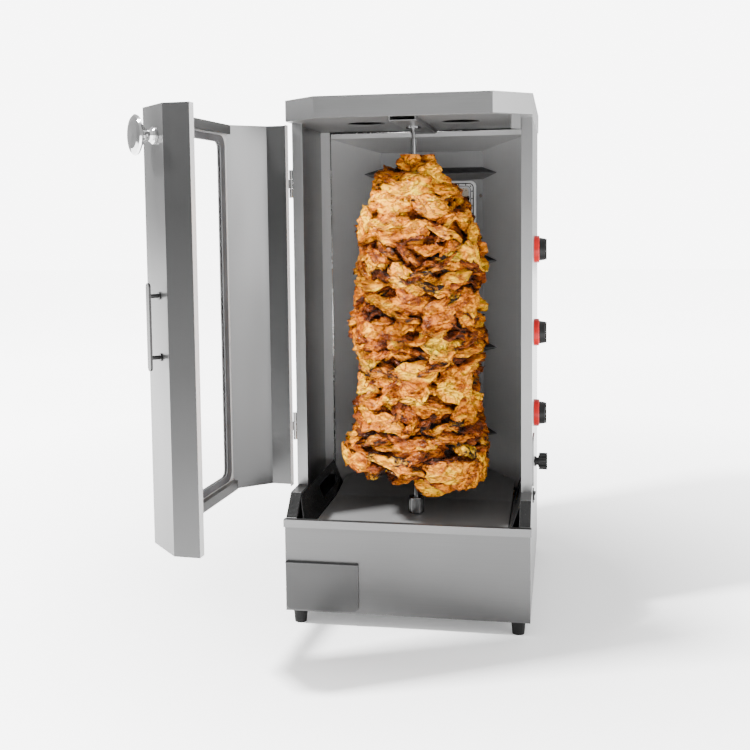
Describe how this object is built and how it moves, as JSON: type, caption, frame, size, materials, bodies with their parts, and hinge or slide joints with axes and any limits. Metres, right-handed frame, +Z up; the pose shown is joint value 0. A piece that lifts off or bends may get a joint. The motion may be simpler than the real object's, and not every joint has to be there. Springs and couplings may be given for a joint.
{
  "type": "rotisserie oven",
  "caption": "Upright gas rotisserie oven with a swinging glass door, a vertical driven spit, stacked infrared burners, side gas knobs and a crumb drawer.",
  "frame": {"origin": "centre of the base footprint, on the plane the feet stand on", "axes": "+Z up, -Y towards the front, +X to the right seen from the front"},
  "size_m": [0.6194, 0.9167, 0.963],
  "materials": {
    "steel": "fine brushed, satin",
    "canopy_steel": "brushed",
    "bright_steel": "polished",
    "black_paint": "gloss",
    "ceramic": "matt",
    "brass": "satin",
    "rubber": "matt",
    "black_plastic": "satin",
    "red_plastic": "gloss",
    "glass": "clear",
    "motor": "painted",
    "meat": "roasted, wet"
  },
  "bodies": {
    "cabinet": {"back_panel": "steel", "back_panel_screws": "bright_steel", "base_bottom_plate": "steel", "base_front_panel": "steel", "base_rim": "steel", "burner_box_flanges": "steel", "burner_box_roof": "steel", "burner_dividers": "steel", "burner_feed_pipes": "brass", "burner_frames": "bright_steel", "burner_mixing_boxes": "steel", "burner_screws": "bright_steel", "burner_tiles": "ceramic", "cable_gland": "black_plastic", "canopy": "canopy_steel", "control_liner": "steel", "drip_tray": "steel", "feet": "rubber", "gas_inlet_nipple": "brass", "gas_manifold": "steel", "gas_taps": "brass", "gear_motor": "motor", "hinge_frame_leaves": "bright_steel", "knob_bezels": "red_plastic", "latch_keeper": "steel", "motor_bracket": "steel", "rail_nose_pads": "rubber", "reflector_back": "steel", "reflector_left": "steel", "reflector_right": "steel", "rocker_switch_body": "black_plastic", "roof_plate": "steel", "shaft_seal": "rubber", "side_hatch": "steel", "side_rails": "steel", "side_wall_left": "steel", "side_wall_right": "steel", "splash_guards": "black_paint", "top_bush": "bright_steel", "top_channel": "steel"},
    "door": {"door_pan": "steel", "door_rails": "steel", "window_glass": "glass", "window_gasket": "rubber", "door_handle": "steel", "hinge_door_leaves": "bright_steel"},
    "latch": {"latch_knob": "bright_steel"},
    "spit": {"drive_cup": "bright_steel", "spit_rod": "bright_steel", "meat_stack": "meat"},
    "drawer": {"drawer_front": "steel", "drawer_tub": "steel"},
    "star_screw": {"star_knob": "black_plastic"},
    "rocker": {"switch_rocker": "red_plastic"},
    "tap_1": {"tap_plug_1": "brass"},
    "gas_knob_1": {"gas_knob_1": "black_plastic"},
    "tap_2": {"tap_plug_2": "brass"},
    "gas_knob_2": {"gas_knob_2": "black_plastic"},
    "tap_3": {"tap_plug_3": "brass"},
    "gas_knob_3": {"gas_knob_3": "black_plastic"}
  },
  "joints": [
    {"name": "door_hinge", "type": "hinge", "parent": "cabinet", "child": "door", "pos_m": [-0.2265, -0.159, 0.5715], "axis": [0, 0, 1], "range_deg": [-26, 94]},
    {"name": "latch_turn", "type": "hinge", "parent": "door", "child": "latch", "pos_m": [-0.32543, -0.58297, 0.875], "axis": [0.7405, 0.6721, 0], "range_deg": [0, 90]},
    {"name": "spit_spin", "type": "hinge", "parent": "cabinet", "child": "spit", "pos_m": [0, -0.11, 0.2], "axis": [0, 0, 1], "continuous": true},
    {"name": "drawer_slide", "type": "slide", "parent": "cabinet", "child": "drawer", "axis": [0, -1, 0], "range_m": [0, 0.19]},
    {"name": "star_knob_turn", "type": "hinge", "parent": "cabinet", "child": "star_screw", "pos_m": [0.235, -0.11, 0.285], "axis": [1, 0, 0], "range_deg": [0, 540]},
    {"name": "rocker_tilt", "type": "hinge", "parent": "cabinet", "child": "rocker", "pos_m": [0.2225, -0.11, 0.219], "axis": [0, 1, 0], "range_deg": [-18, 0]},
    {"name": "tap_1_turn", "type": "hinge", "parent": "cabinet", "child": "tap_1", "pos_m": [0.2135, -0.01, 0.359], "axis": [1, 0, 0], "range_deg": [0, 180]},
    {"name": "knob_1_push", "type": "slide", "parent": "tap_1", "child": "gas_knob_1", "axis": [-1, 0, 0], "range_m": [0, 0.003], "stiffness_N_per_m": 600, "springref_m": -0.001},
    {"name": "tap_2_turn", "type": "hinge", "parent": "cabinet", "child": "tap_2", "pos_m": [0.2135, -0.01, 0.519], "axis": [1, 0, 0], "range_deg": [0, 180]},
    {"name": "knob_2_push", "type": "slide", "parent": "tap_2", "child": "gas_knob_2", "axis": [-1, 0, 0], "range_m": [0, 0.003], "stiffness_N_per_m": 600, "springref_m": -0.001},
    {"name": "tap_3_turn", "type": "hinge", "parent": "cabinet", "child": "tap_3", "pos_m": [0.2135, -0.01, 0.682], "axis": [1, 0, 0], "range_deg": [0, 180]},
    {"name": "knob_3_push", "type": "slide", "parent": "tap_3", "child": "gas_knob_3", "axis": [-1, 0, 0], "range_m": [0, 0.003], "stiffness_N_per_m": 600, "springref_m": -0.001}
  ]
}
